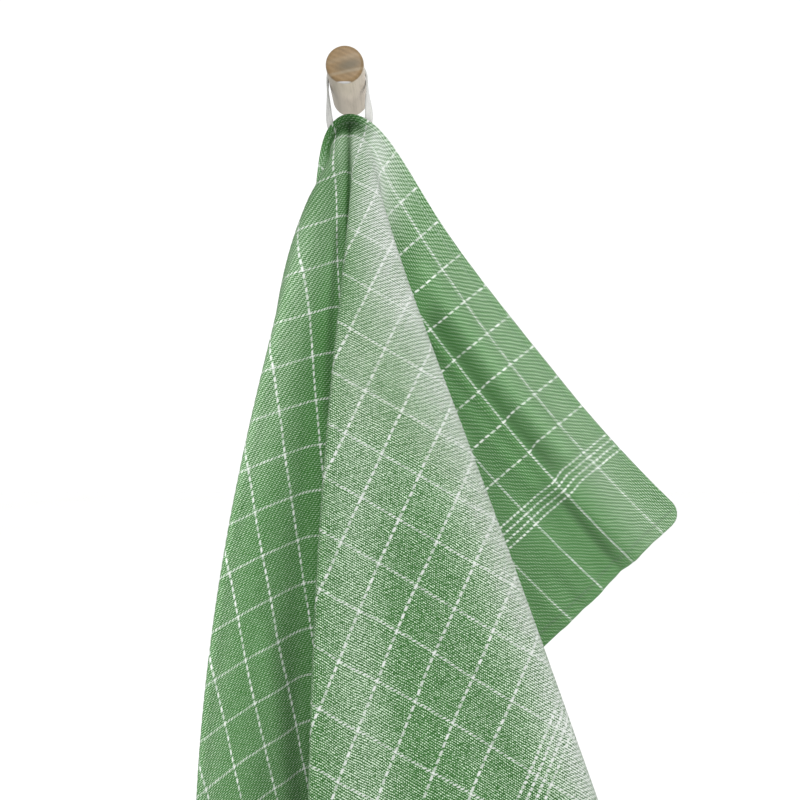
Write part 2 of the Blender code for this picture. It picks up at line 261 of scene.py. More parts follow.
# %% The folds, ray by ray
TOWEL_LENGTH = 0.700          # along the hanging edge, U
TOWEL_WIDTH = 0.500           # across it, V
CORNER_ROUND = 0.013
EDGE_BOW = 0.006              # how far the loop draws the hanging edge in, towards its middle
EDGE_BOW_START = 0.080
EDGE_BOW_END = 0.220
GATHER_LENGTH = 0.029         # how soon the flat edge at the hang point falls into its folds
TUCK_LENGTH = 0.030
BIAS_STRETCH = 0.03           # how far cloth gives at 45 degrees to its threads
WIDEST_TURN = 24.0            # degrees
ROLL_LENGTH = 0.014           # half the cloth in a bulge
BULGE_PEAK = 2.1
ROLL_START = 0.060
ROLL_GROWTH = 0.100
FOLD_START = 0.022
SWING_STATIONS = (0.060, 0.200, 0.450)
OUT_STATIONS = (0.0, 0.060, 0.200, 0.450, 0.620)
TINY = 1e-6

# flat is the ray's angle on the flat cloth in degrees, swing its angle below the horizontal when
# hung, seen from the front, and out how far it stands forward in millimetres, both by distance.
# turn, bulge and tuck round a fold, blow it up into a roll and take up its length, in millimetres.
Fold = namedtuple("Fold", "name flat swing_60 swing_200 swing_450 "
                          "out_60 out_200 out_450 out_620 turn bulge tuck")
FOLDS = (
    Fold("right free edge", 0.0, 51.5, 52.6, 48.3, -3, -14, -34, -36, 0, 0, 0),
    Fold("back panel", 12.0, 65.0, 64.4, 60.0, -1, -6, -28, -34, 14, 0, 0),
    Fold("back fold", 27.5, 80.0, 79.5, 76.0, -3, -9, -28, -34, 12, 0, 0),
    Fold("back return", 35.5, 75.0, 75.0, 74.0, 4, 17, 30, 40, 9, 0, 2),
    Fold("middle right roll", 43.5, 70.5, 69.9, 70.3, 10, 36, 80, 100, 9, 0, 3),
    Fold("middle crest", 56.0, 82.0, 81.8, 81.8, 14, 48, 90, 114, 20, 0, 3),
    Fold("middle left roll", 68.3, 92.5, 93.6, 92.6, 12, 48, 102, 122, 5, 7, 2),
    Fold("inner fold", 84.0, 87.5, 81.0, 79.5, 5, 20, 46, 53, 6, 3, 6),
    Fold("valley", 102.0, 98.0, 97.2, 93.8, -2, -6, -8, -12, 8, 0, 8),
    Fold("left panel", 108.0, 103.0, 102.3, 98.0, 2, 10, 24, 28, 8, 0, 5),
    Fold("left roll", 114.3, 111.5, 107.7, 101.8, 6, 20, 42, 46, 5, 4, 1),
    Fold("left behind", 125.0, 120.5, 103.5, 96.5, -1, -13, -22, -26, 12, 0, 1),
    Fold("rear fold front", 147.0, 90.0, 79.5, 77.0, -11, -21, -23, -26, 9, 0, 0),
    Fold("rear fold back", 153.5, 89.0, 80.0, 77.5, -17, -31, -34, -36, 9, 0, 0),
    Fold("rear free edge", 180.0, 106.0, 102.0, 98.0, -19, -33, -35, -36, 0, 0, 0),
)

# Soft folds that don't start at the hang point: their two ends on the flat cloth, half width and
# height, in millimetres. A trough has a negative height.
SoftFold = namedtuple("SoftFold", "name u_start v_start u_end v_end half_width height")
SOFT_FOLDS = (
    SoftFold("crease crest on the back panel", 135, 50, 275, 48, 17, 3.5),
    SoftFold("crease trough on the back panel", 130, 28, 290, 28, 19, -4.0),
    SoftFold("trough to the right hem", 290, 62, 370, 64, 22, -4.0),
    SoftFold("dip in the middle panel", 150, 258, 250, 330, 40, -6.0),
    SoftFold("swell beside the left roll", 135, 285, 185, 395, 20, 3.0),
    SoftFold("ripple at the lower edge", 240, 420, 250, 530, 26, -5.0),
    SoftFold("crest on the left panel", -96, 340, -112, 470, 16, 3.5),
)
print(len(FOLDS), "fold rays and", len(SOFT_FOLDS), "soft folds")

# %% [markdown]
# The next cell turns the table into places. Each function takes whole arrays of cloth points at
# once, because a fine sheet has tens of thousands of them.


# %% Where a point of the flat cloth hangs
def through_stations(distance, stations, table):
    """Each row of the table as a smooth curve through its stations, read at every distance."""
    stations = np.array(stations)
    table = np.array(table, float)
    lengths = np.diff(stations)
    slopes = np.diff(table, axis=1) / lengths
    tangents = np.hstack([slopes[:, :1], (slopes[:, :-1] + slopes[:, 1:]) / 2, slopes[:, -1:]])
    span = np.clip(np.searchsorted(stations, distance, side="right") - 1, 0, len(lengths) - 1)
    length = lengths[span]
    t = np.clip((distance - stations[span]) / length, 0, 1)
    curve = (table[:, span] * (1 + 2 * t) * (1 - t) ** 2
             + tangents[:, span] * length * t * (1 - t) ** 2
             + table[:, span + 1] * t * t * (3 - 2 * t)
             + tangents[:, span + 1] * length * t * t * (t - 1))
    return curve + slopes[:, -1:] * np.maximum(distance - stations[-1], 0)


def rounded_ramp(past, half):
    """0 before a bend and one for one past it, rounded over half on either side."""
    rounding = (past + half) ** 2 / (4 * np.maximum(half, TINY))
    return np.where(past <= -half, 0.0, np.where(past >= half, past, rounding))


def across_folds(flat, distance, values):
    """Straight between the fold rays, and rounded over each ray's own turn."""
    rays = np.array([fold.flat for fold in FOLDS])
    values = np.array(values, float) + np.zeros((len(FOLDS), len(flat)))
    slopes = np.diff(values, axis=0) / np.diff(rays)[:, None]
    total = values[0] + slopes[0] * flat
    for i, fold in enumerate(FOLDS[1:-1], start=1):
        half = np.degrees(fold.turn / 1000 / np.maximum(distance, TINY))
        half = np.minimum(half, WIDEST_TURN)
        total = total + (slopes[i] - slopes[i - 1]) * rounded_ramp(flat - fold.flat, half)
    return total


def roll_height(flat, distance):
    """How far the bulges of the tight folds move the cloth towards the viewer."""
    total = np.zeros(len(flat))
    growth = np.clip((distance - ROLL_START) / ROLL_GROWTH, 0, 1)
    for before, fold, after in zip(FOLDS, FOLDS[1:], FOLDS[2:]):
        place = np.clip(np.radians(flat - fold.flat) * distance / ROLL_LENGTH, -1, 1)
        front_first = 1 if before.out_450 > after.out_450 else -1
        shape = BULGE_PEAK * place * (1 - place * place) ** 3
        total -= front_first * fold.bulge / 1000 * growth * shape
    return total


def smooth_fade(x):
    """1 at x = 0, falling smoothly to 0 at x = 1 and beyond."""
    x = np.clip(np.abs(x), 0, 1)
    return 1 - x * x * (3 - 2 * x)


def streak(u, v, row):
    """1 along a row's line on the flat cloth, fading to 0 at its half width and past its ends."""
    start = np.array((row.u_start, row.v_start)) / 1000
    end = np.array((row.u_end, row.v_end)) / 1000
    length = np.linalg.norm(end - start)
    along = (end - start) / length
    travelled = (u - start[0]) * along[0] + (v - start[1]) * along[1]
    aside = (u - start[0]) * along[1] - (v - start[1]) * along[0]
    past_ends = np.maximum(np.maximum(-travelled, travelled - length), 0)
    half_width = row.half_width / 1000
    return smooth_fade(aside / half_width) * smooth_fade(past_ends / (2 * half_width))


def hung(u, v):
    """Where the flat points (u, v) of the towel hang, one row of three numbers for each."""
    distance = np.hypot(u, v)
    flat = np.where(distance > 0, np.degrees(np.arctan2(v, u)), 90.0)
    flat = np.where(flat < -90, flat + 360, flat)
    swing = through_stations(distance, SWING_STATIONS,
                             [(f.swing_60, f.swing_200, f.swing_450) for f in FOLDS])
    out = through_stations(distance, OUT_STATIONS,
                           [(0, f.out_60, f.out_200, f.out_450, f.out_620) for f in FOLDS])
    near_swing = across_folds(flat, distance, [[f.swing_60] for f in FOLDS])
    hung_swing = across_folds(flat, distance, swing)
    hung_swing += (flat - near_swing) * np.exp(-distance / GATHER_LENGTH)
    ray_out = across_folds(flat, distance, out) / 1000
    ray_out = ray_out * (1 - np.exp(-(distance / FOLD_START) ** 2)) + roll_height(flat, distance)
    tuck = across_folds(flat, distance, [[f.tuck] for f in FOLDS]) / 1000
    tuck *= 1 - np.exp(-(distance / TUCK_LENGTH) ** 2)
    give = 1 + BIAS_STRETCH * np.sin(2 * np.radians(flat)) ** 2
    drop = np.sqrt(np.maximum(((distance - tuck) * give) ** 2 - ray_out ** 2, 0))
    turn = np.radians(hung_swing)
    lift = ray_out + sum(row.height / 1000 * streak(u, v, row) for row in SOFT_FOLDS + CREASES)
    return np.array(HANG_POINT) + np.column_stack(
        [drop * np.cos(turn), -lift, -drop * np.sin(turn)])


# %% [markdown]
# ## Creases
# Ironed and worn cloth keeps small creases that a CAD solid is too coarse for. They are listed in
# the same way as the soft folds, only narrower, so each can be moved on its own.

# %% Small creases, listed one by one
CREASES = (
    SoftFold("pleat crest along the second check line", 130, 47, 268, 45, 6, 2.6),
    SoftFold("pleat foot", 140, 36, 268, 35, 10, -5.5),
    SoftFold("pleat foot beyond the four lines", 290, 50, 345, 54, 6, -3.5),
    SoftFold("pleat crest beyond the four lines", 285, 39, 345, 41, 7, 2.0),
    SoftFold("pucker at the short hem, by the corner", 326, 26, 352, 24, 6, -1.2),
    SoftFold("pucker at the short hem, upper", 326, 74, 352, 76, 6, 1.2),
    SoftFold("pucker at the short hem, middle", 322, 90, 352, 92, 6, -1.6),
    SoftFold("pucker at the short hem, lower", 326, 106, 352, 108, 6, 1.4),
    SoftFold("ridge low on the left panel", -84, 395, -104, 500, 8, 1.8),
    SoftFold("crease down from the loop", 0, 12, 1, 120, 4, -4.0),
    SoftFold("slit above the first line", -26, 9, -4, 10, 4, -2.5),
    SoftFold("recess under the loop", -8, 9, 8, 9, 9, -3.0),
)
sample = hung(np.array([0.0, 0.35]), np.array([0.0, 0.5]))
print("Hang point and far corner in millimetres:", np.round(1000 * sample).tolist())

# %% [markdown]
# ## The towel's sheet
# A sheet could be drawn as one rectangle of even squares, but a hem needs a few close rows at the
# edges to look folded over and sewn. So the grid's columns and rows are spaced by a rule, then
# every point is hung, and a Solidify modifier gives the cloth its thickness.

# %% Space the rows and columns
CLOTH_THICKNESS = 0.0010
HEM_THICKNESS = 0.0022
SHORT_HEM = 0.010
LONG_HEM = 0.006
STITCH_SHARE = 0.82           # how far into the hem its stitches run
EDGE_STEPS = (0.0, 0.12, 0.40, 0.66, 0.82, 1.0, 1.2)   # of a hem's depth
EDGE_FULLNESS = (0.35, 0.85, 1.0, 0.8, 0.25, 0.45, 0.0)   # of its thickness there
COLUMNS = 262
ROWS = 188


def spaced(length, hem, count):
    """Places from 0 to length: a few close ones at each hem, and even ones between."""
    near = np.array(EDGE_STEPS) * hem
    inner = np.linspace(near[-1], length - near[-1], count + 1 - 2 * (len(near) - 1))
    return np.concatenate([near[:-1], inner, length - near[:-1][::-1]])


column_places = spaced(TOWEL_LENGTH, SHORT_HEM, COLUMNS) - TOWEL_LENGTH / 2
row_places = spaced(TOWEL_WIDTH, LONG_HEM, ROWS)
print(len(column_places), "columns and", len(row_places), "rows")


# %% Shape the cut edges
def round_corner(u, v):
    """Push the points near the towel's corners onto the corners' round."""
    beyond_u = np.abs(u) - (TOWEL_LENGTH / 2 - CORNER_ROUND)
    inner_v = np.clip(v, CORNER_ROUND, TOWEL_WIDTH - CORNER_ROUND)
    beyond_v = v - inner_v
    corner = (beyond_u > 0) & (beyond_v != 0)
    scale = np.where(corner, np.maximum(beyond_u, np.abs(beyond_v))
                     / np.maximum(np.hypot(beyond_u, beyond_v), TINY), 1.0)
    inner_u = np.sign(u) * (TOWEL_LENGTH / 2 - CORNER_ROUND)
    return (np.where(corner, inner_u + np.sign(u) * beyond_u * scale, u),
            np.where(corner, inner_v + beyond_v * scale, v))


def bow_edge(u, v):
    """Move the points near the hanging edge out onto that edge's bow."""
    share = np.clip((np.abs(u) - EDGE_BOW_START) / (EDGE_BOW_END - EDGE_BOW_START), 0, 1)
    return v - EDGE_BOW * (1 - smooth_fade(share)) * smooth_fade(v / EDGE_BOW_END)


def hem_fullness(u, v):
    """1 where a hem is full, less where its stitches pull it in, 0 on the single cloth."""
    short = (TOWEL_LENGTH / 2 - np.abs(u)) / SHORT_HEM
    long = np.minimum(v, TOWEL_WIDTH - v) / LONG_HEM
    share = np.minimum(short, long)
    return np.interp(share, EDGE_STEPS, EDGE_FULLNESS)


print("Hem fullness at its stitches:", float(hem_fullness(0.0, STITCH_SHARE * LONG_HEM)))

# %% Hang the towel
towel_bm = bmesh.new()
bmesh.ops.create_grid(towel_bm, x_segments=COLUMNS, y_segments=ROWS, size=0.5)
towel_mesh = bpy.data.meshes.new("checked_towel")
towel_bm.to_mesh(towel_mesh)
towel_bm.free()
grid = np.zeros(3 * len(towel_mesh.vertices))
towel_mesh.vertices.foreach_get("co", grid)
grid = grid.reshape(-1, 3)
cut_u = column_places[np.rint((grid[:, 0] + 0.5) * COLUMNS).astype(int)]
cut_v = row_places[np.rint((grid[:, 1] + 0.5) * ROWS).astype(int)]
cut_u, cut_v = round_corner(cut_u, cut_v)
woven_v = bow_edge(cut_u, cut_v)
towel_mesh.vertices.foreach_set("co", hung(cut_u, woven_v).ravel())
print(len(towel_mesh.vertices), "points hung")


# %% [markdown]
# The weave has to follow the cloth, not the air it hangs in. So the sheet gets a UV map that holds
# each point's place on the flat cloth, and a second one measured from the cut edges for the hems.

# %% Map the flat cloth
def add_flat_map(mesh, name, across, along):
    """A UV map from one pair of numbers for each of the mesh's vertices."""
    corners = np.zeros(len(mesh.loops), int)
    mesh.loops.foreach_get("vertex_index", corners)
    layer = mesh.uv_layers.new(name=name)
    layer.uv.foreach_set("vector", np.column_stack([across, along])[corners].ravel())


def add_values(mesh, name, values):
    """A named number for each of the mesh's vertices."""
    mesh.attributes.new(name, "FLOAT", "POINT").data.foreach_set("value", values)


woven_height = TOWEL_WIDTH + EDGE_BOW
add_flat_map(towel_mesh, "woven", cut_u / TOWEL_LENGTH + 0.5, (woven_v + EDGE_BOW) / woven_height)
add_flat_map(towel_mesh, "cut", cut_u / TOWEL_LENGTH + 0.5, cut_v / TOWEL_WIDTH)

# %% [markdown]
# Where the cloth is pulled over a fold, worn or bleached, more pale thread shows. The same share
# also carries painted sheen and highlight on the rolls and upper folds that face the light, and
# less of it is painted shade in the recess, the creases and the valleys. That changes slowly over
# the cloth, so it is laid down in broad streaks like the folds, each with its share of pale
# thread. A second number says how coarse the speckle looks: full on the middle fold. A third is
# painted light and shade: it lightens or darkens the cloth where its folds catch or lose more
# light than ours do.

# %% Lay down the pale streaks
Streak = namedtuple("Streak", "name u_start v_start u_end v_end half_width share")
PALE_EVERYWHERE = 0.08
# Positive shares add painted sheen and highlight along with pale thread; negative ones are painted
# shade.
PALE_STREAKS = (
    Streak("right-hand roll", 52, 48, 350, 332, 50, 0.58),
    Streak("upper centre of the middle fold", 60, 90, 123, 182, 36, 0.16),
    Streak("left strip of the middle fold", 75, 150, 250, 490, 30, 0.24),
    Streak("upper part of the left panel", -10, 28, -72, 197, 34, 0.14),
    Streak("left roll", -39, 92, -188, 442, 24, 0.10),
    Streak("free edge of the back panel", 42, 6, 350, 6, 38, 0.22),
    Streak("back panel beyond the four lines", 300, 24, 345, 30, 24, 0.11),
    Streak("foot of the back panel's pleat", 150, 38, 245, 38, 9, -0.10),
    Streak("lower part of the back panel", 215, 84, 345, 96, 44, 0.02),
    Streak("recess under the loop", -14, 5, 1, 5, 11, -0.60),
    Streak("rear layer beside the left roll", -32, 3, -66, 3, 16, 0.16),
    Streak("crease from the loop", 0, 10, 1, 90, 7, -0.20),
    Streak("right shoulder", 14, 5, 24, 6, 8, 0.14),
    Streak("lower centre of the middle fold", 160, 250, 260, 400, 34, -0.06),
    Streak("valley beside the middle fold", -30, 150, -90, 500, 22, -0.10),
)
COARSE_RAYS = (30.0, 39.0, 66.0, 82.0)
COARSENESS = (0.44, 0.90, 0.90, 0.56)
COARSE_FROM = (0.080, 0.240)   # metres from the loop
COARSE_NEAR_LOOP = (0.65, 1.0)
# Painted light: the left panel and the back panel are lightened in colour.
LEFT_SIDE_RAYS = (66.0, 84.0)
LEFT_SIDE_FROM = (0.050, 0.120, 0.250, 0.400, 0.480)   # metres from the loop
LEFT_SIDE_GAIN = (0.02, 0.42, 0.56, 0.50, 0.34)
BACK_RAYS = (30.0, 38.0)
BACK_GAIN = 0.20
# Painted light and shade: each row lightens or darkens the colour along its streak, darker in the
# recess, creases, pleat feet and valleys.
SHADES = (
    Streak("recess under the loop", -14, 5, 0, 5, 12, -0.66),
    Streak("crease down from the loop", 0, 10, 1, 110, 4, -0.30),
    Streak("rear layer beside the left roll", -32, 3, -66, 3, 20, 0.55),
    Streak("foot of the back panel's pleat", 140, 38, 262, 37, 8, -0.42),
    Streak("behind the pleat's crest", 160, 56, 262, 54, 8, 0.38),
    Streak("before the pleat's foot", 112, 24, 262, 24, 9, 0.30),
    Streak("back panel beside the middle fold", 90, 58, 200, 74, 18, 0.30),
    Streak("pleat foot beyond the four lines", 285, 49, 332, 52, 6, -0.30),
    Streak("seam of the valley", -13, 85, -31, 200, 5, -0.48),
    Streak("seam of the valley, lower", -34, 225, -44, 330, 7, -0.22),
    Streak("valley low beside the middle fold", -40, 320, -84, 520, 20, -0.48),
    Streak("low on the left panel", -92, 450, -120, 540, 34, -0.34),
    Streak("back panel towards the short hem", 200, 90, 345, 100, 50, 0.05),
)

paleness = PALE_EVERYWHERE + sum(row.share * streak(cut_u, woven_v, row) for row in PALE_STREAKS)
ray_angles = np.degrees(np.arctan2(woven_v, cut_u))
from_loop = np.hypot(cut_u, woven_v)
add_values(towel_mesh, "paleness", np.clip(paleness, 0.0, 1.0))
coarseness = np.interp(ray_angles, COARSE_RAYS, COARSENESS)
coarseness *= np.interp(from_loop, COARSE_FROM, COARSE_NEAR_LOOP)
add_values(towel_mesh, "coarseness", coarseness)
left_side = np.interp(ray_angles, LEFT_SIDE_RAYS, (0.0, 1.0))
shade = 1.0 + sum(row.share * streak(cut_u, woven_v, row) for row in SHADES)
shade += left_side * np.interp(from_loop, LEFT_SIDE_FROM, LEFT_SIDE_GAIN)
shade += np.interp(ray_angles, BACK_RAYS, (BACK_GAIN, 0.0))
add_values(towel_mesh, "shade", shade)
print("Pale share from", round(float(paleness.min()), 2), "to", round(float(paleness.max()), 2))

# %% Thicken the cloth
towel = add_object("checked_towel", towel_mesh)
fullness = hem_fullness(cut_u, cut_v)
hem_group = towel.vertex_groups.new(name="hem")
for index in np.flatnonzero(fullness > 0):
    hem_group.add([int(index)], float(fullness[index]), "REPLACE")
thickness = towel.modifiers.new("cloth_thickness", "SOLIDIFY")
thickness.thickness = HEM_THICKNESS
thickness.thickness_vertex_group = CLOTH_THICKNESS / HEM_THICKNESS
thickness.vertex_group = "hem"
thickness.offset = 0.0
thickness.use_even_offset = False
thickness.use_quality_normals = True
towel_mesh.shade_smooth()
print("Flat maps:", [layer.name for layer in towel_mesh.uv_layers])

# %% [markdown]
# ## The woven cotton
# The towel is woven in green with a white check: single lines across, and near each short end a
# band of four. Close up it is a twill, where each thread passes over two and under two, so the
# ground is a speckle of green and pale threads with fine slanting ribs, and a white line shows as
# slanted dashes. On the smooth side panels the ribs show more and the speckle less. An image could
# hold all that, but arithmetic stays sharp at every distance.

# %% The check
CHECK_U = 25.93               # millimetres between the lines that cross the towel's length
CHECK_V = 29.41               # millimetres between the lines along it
BAND_START = 10.5             # of CHECK_U from the middle, where the four close lines begin
BAND_STEP = 0.18
BAND_CLOTH = (10.1, 10.2)     # of CHECK_U from the middle, where the band's closer dashes begin
THREAD = 1.30                 # millimetres from one thread to the next
RIB_PITCH = 3.30              # along either thread, from one slanting rib to the next
FIBRE = 0.62                  # millimetres across one loose tuft of fibres
CROSS_LINE_HALF = 0.60        # half the width of a line at the sides
MIDDLE_LINE_HALF = 0.76       # and on the middle fold, where the cloth is pulled open
LONG_LINE_HALF = 0.60
LONG_LINE_GAIN = 0.16         # wider by this where the cloth is coarse
LINE_EDGE = 0.35              # softness of a line's edge
DASH_PITCH = 4.8              # on the lines across the towel
BAND_DASH_PITCH = 3.1
DASH_SHARE = 0.66
DASH_SLANT = 0.12
DOT_PITCH = 2.6               # on the lines along it
DOT_SHARE = 0.52
DOT_SLANT = 0.42
GREEN_THREAD = (0.030, 0.110, 0.022, 1.0)
WHITE_THREAD = (0.43, 0.45, 0.43, 1.0)
PALE_STITCH = (0.22, 0.32, 0.22, 1.0)

cotton = Finish("green_check_cotton", GREEN_THREAD[:3], 0.85)
woven_map = cotton.node("UVMap", {"uv_map": "woven"}, {})
wobble = cotton.noise(woven_map, 9.0, detail=3.0)
shiver = cotton.noise(woven_map, 60.0, detail=2.0)
drift = (wobble - 0.5) * 2.0 + (shiver - 0.5) * 0.7
u_mm = (cotton.part(woven_map, "X") - 0.5) * (1000 * TOWEL_LENGTH) + drift
v_mm = cotton.part(woven_map, "Y") * (1000 * woven_height) - 1000 * EDGE_BOW + drift


def fraction(value):
    """The part of a signal after its decimal point."""
    return cotton.maths("FRACT", value)


def whole(value):
    """The whole number below a signal."""
    return cotton.maths("FLOOR", value)


def pulse(value, share, softness):
    """Once for every whole number: 1 on a share of the way, 0 on the rest."""
    return cotton.step(abs(fraction(value) - 0.5), share / 2 + softness, share / 2 - softness)


def line_mask(distance, half_width):
    """1 on a woven line and 0 beside it."""
    return cotton.step(abs(distance) - half_width, LINE_EDGE, -LINE_EDGE)


coarseness = cotton.node("Attribute", {"attribute_name": "coarseness"}, {}, output="Fac")
cross_half = CROSS_LINE_HALF + coarseness * (MIDDLE_LINE_HALF - CROSS_LINE_HALF)
cells_u = abs(u_mm) / CHECK_U
cells_v = v_mm / CHECK_V
single_line = line_mask((fraction(cells_u) - 0.5) * CHECK_U, cross_half)
band_place = (cells_u - BAND_START) / BAND_STEP
band_number = cotton.node("Clamp", {}, {"Value": cotton.maths("ROUND", band_place),
                                        "Min": 0.0, "Max": 3.0})
band_line = line_mask((band_place - band_number) * (BAND_STEP * CHECK_U), cross_half)
in_band = cotton.step(cells_u, *BAND_CLOTH)
cross_line = single_line * (1 - in_band) + band_line * in_band
long_place = (fraction(cells_v) - 0.5) * CHECK_V
long_line = line_mask(long_place, LONG_LINE_HALF + coarseness * LONG_LINE_GAIN)
print("Check of", CHECK_U, "by", CHECK_V, "mm")

# %% The dashes and dots of the white lines
dashes_per_mm = 1 / DASH_PITCH + in_band * (1 / BAND_DASH_PITCH - 1 / DASH_PITCH)
dash_place = v_mm * dashes_per_mm + u_mm * DASH_SLANT
dash_luck = cotton.dice(whole(dash_place), whole(cells_u))
dash = pulse(dash_place, DASH_SHARE, 0.09) * (0.50 + dash_luck * 0.50)
dot_place = u_mm / DOT_PITCH + long_place * DOT_SLANT
dot_luck = cotton.dice(whole(dot_place), whole(cells_v))
dot = pulse(dot_place, DOT_SHARE, 0.10) * (0.45 + dot_luck * 0.50)
line_white = cotton.maths("MAXIMUM", cross_line * dash, long_line * dot)
line_white = cotton.maths("MAXIMUM", line_white, cross_line * long_line)
print("White lines woven")

# %% The ground, thread by thread
DEEP_GREEN = (0.023, 0.088, 0.017, 1.0)
FRESH_GREEN = (0.032, 0.112, 0.025, 1.0)
PALE_THREAD = (0.285, 0.350, 0.270, 1.0)
BLEACHED_AND_SHEEN_THREAD = (0.345, 0.365, 0.345, 1.0)

paleness = cotton.node("Attribute", {"attribute_name": "paleness"}, {}, output="Fac")
shade = cotton.node("Attribute", {"attribute_name": "shade"}, {}, output="Fac")
row_place = v_mm / THREAD + (shiver - 0.5)
rows = cotton.maths("SINE", row_place * math.tau)
columns = cotton.maths("SINE", (u_mm / THREAD + whole(row_place) * 0.5) * math.tau)
rib = cotton.maths("SINE", ((u_mm + v_mm) / RIB_PITCH + (shiver - 0.5) * 0.8) * math.tau)
speckle = cotton.dice(whole(u_mm / FIBRE), whole(v_mm / (0.7 * FIBRE))) - 0.5
cloud = cotton.noise(woven_map, 16.0, detail=4.0, roughness=0.6)
slub = cotton.dice(whole(row_place), 7.0) * 0.5 + cotton.dice(whole(u_mm / THREAD), 3.0) * 0.5
local_pale = paleness * (0.65 + cloud * 0.4 + slub * 0.3)
# Where the pale share is high the pale thread turns grey: bleached cloth and painted sheen.
bleach_and_sheen = cotton.step(local_pale, 0.25, 0.80)
rib_depth = 0.72 - coarseness * 0.64 + bleach_and_sheen * 0.26
speckle_depth = coarseness * 2.1 - 0.55
weave = rows * 0.75 + columns * 0.45 + rib * rib_depth + speckle * speckle_depth
grain = coarseness * (1 - bleach_and_sheen * 0.4)
pale_sum = local_pale * (1 + grain * 0.65) + (weave - 0.31) * grain
pale_share = cotton.node("Clamp", {}, {"Value": pale_sum})
green = cotton.mix(cloud, DEEP_GREEN, FRESH_GREEN)
pale = cotton.mix(bleach_and_sheen, PALE_THREAD, BLEACHED_AND_SHEEN_THREAD)
ground = cotton.mix(pale_share, green, pale)
# Painted highlight and shade of the threads: the colour is lightened on each thread and darkened
# between threads and ribs.
light_and_dark = 1 + weave * (0.12 + grain * 0.32)
ground = cotton.scaled(ground, light_and_dark)
striped = cotton.mix(line_white, ground, WHITE_THREAD)
print("Ground woven")

# %% Sew the hems
STITCH_PITCH = 3.4            # millimetres
GROOVE_EDGES = (1.3, 0.2)     # from a row of stitches, where its groove begins and is full
STITCH_EDGES = (0.50, 0.20)
cut_map = cotton.node("UVMap", {"uv_map": "cut"}, {})
cut_x = (cotton.part(cut_map, "X") - 0.5) * (1000 * TOWEL_LENGTH)
cut_y = cotton.part(cut_map, "Y") * (1000 * TOWEL_WIDTH)
from_short_edge = 500 * TOWEL_LENGTH - abs(cut_x)
from_long_edge = 500 * TOWEL_WIDTH - abs(cut_y - 500 * TOWEL_WIDTH)
short_row = (from_short_edge - 1000 * STITCH_SHARE * SHORT_HEM) + (shiver - 0.5) * 0.8
long_row = (from_long_edge - 1000 * STITCH_SHARE * LONG_HEM) + (shiver - 0.5) * 0.8
inside_short = cotton.step(from_short_edge, 7.4, 7.8)
inside_long = cotton.step(from_long_edge, 4.4, 4.8)
short_groove = cotton.step(abs(short_row), *GROOVE_EDGES) * inside_long
long_groove = cotton.step(abs(long_row), *GROOVE_EDGES) * inside_short
groove = cotton.maths("MAXIMUM", short_groove, long_groove * 0.4)
short_stitch = cotton.step(abs(short_row), *STITCH_EDGES) * pulse(cut_y / STITCH_PITCH, 0.6, 0.08)
long_stitch = cotton.step(abs(long_row), *STITCH_EDGES) * pulse(cut_x / STITCH_PITCH, 0.6, 0.08)
stitch = cotton.maths("MAXIMUM", short_stitch * inside_long, long_stitch * inside_short)
sewn = cotton.mix(stitch * 0.5, striped, PALE_STITCH)
# The groove along each row of stitches is darkened in the colour: painted shade.
shaded = cotton.scaled(sewn, shade * (1 - groove * 0.30))
cotton.feed(cotton.shader.inputs["Base Color"], shaded)
cotton.bump(weave + line_white * 0.6 + stitch * 1.5 - groove * 2.0, 0.00010, 0.6)
cotton.shader.inputs["Sheen Weight"].default_value = 0.03
cotton.shader.inputs["Sheen Roughness"].default_value = 0.5
cotton.shader.inputs["Specular IOR Level"].default_value = 0.12
towel_mesh.materials.append(cotton.material)
print("Cotton finish:", len(cotton.tree.nodes), "nodes")

# %% Put the towel on its body
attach(towel, "root")
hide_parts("towel")
print("Towel stands for the CAD towel")

# %% [markdown]
# ## The tape loop
# A short length of woven cotton tape is sewn to the back of the hem on both sides of the hang
# point, and goes once over the peg. It could be a bent tube, but a tape is flat, so its middle
# line is worked out first, and its width follows the cloth at one end and the peg at the other.

# %% The tape's middle line
PEG_DIAMETER = 0.0240
TAPE_WIDTH = 0.0060
TAPE_THICKNESS = 0.0012
TAPE_SEWN = 0.009             # length of each end that lies on the back of the towel
TAPE_RIGHT_U = 0.0130
TAPE_LEFT_U = -0.0150
TAPE_PEG_Y = -0.0385          # where the tape crosses the peg
TAPE_LEG_SHARE = 0.36
TAPE_SEWN_SHARE = 0.30
LEG_BELLY = 0.45              # how far a leg still follows the cloth before it turns to the peg
CLEARANCE = 0.0003
SEAT_CLEARANCE = 0.0006
SOLID_HEM_THICKNESS = 0.0017
FLAT_STEP = 0.0005


@lru_cache(maxsize=None)
def hung_point(u, v):
    """Where one flat point hangs, as a Vector. Points asked for again are remembered."""
    return Vector(hung(np.array([u]), np.array([v]))[0])


def wallward_normal(u, v):
    """The cloth's own normal at a flat point, on the side of the wall."""
    along_u = hung_point(u + FLAT_STEP, v) - hung_point(u - FLAT_STEP, v)
    along_v = hung_point(u, v + FLAT_STEP) - hung_point(u, v)
    normal = along_u.cross(along_v).normalized()
    return normal if normal.y > 0 else -normal


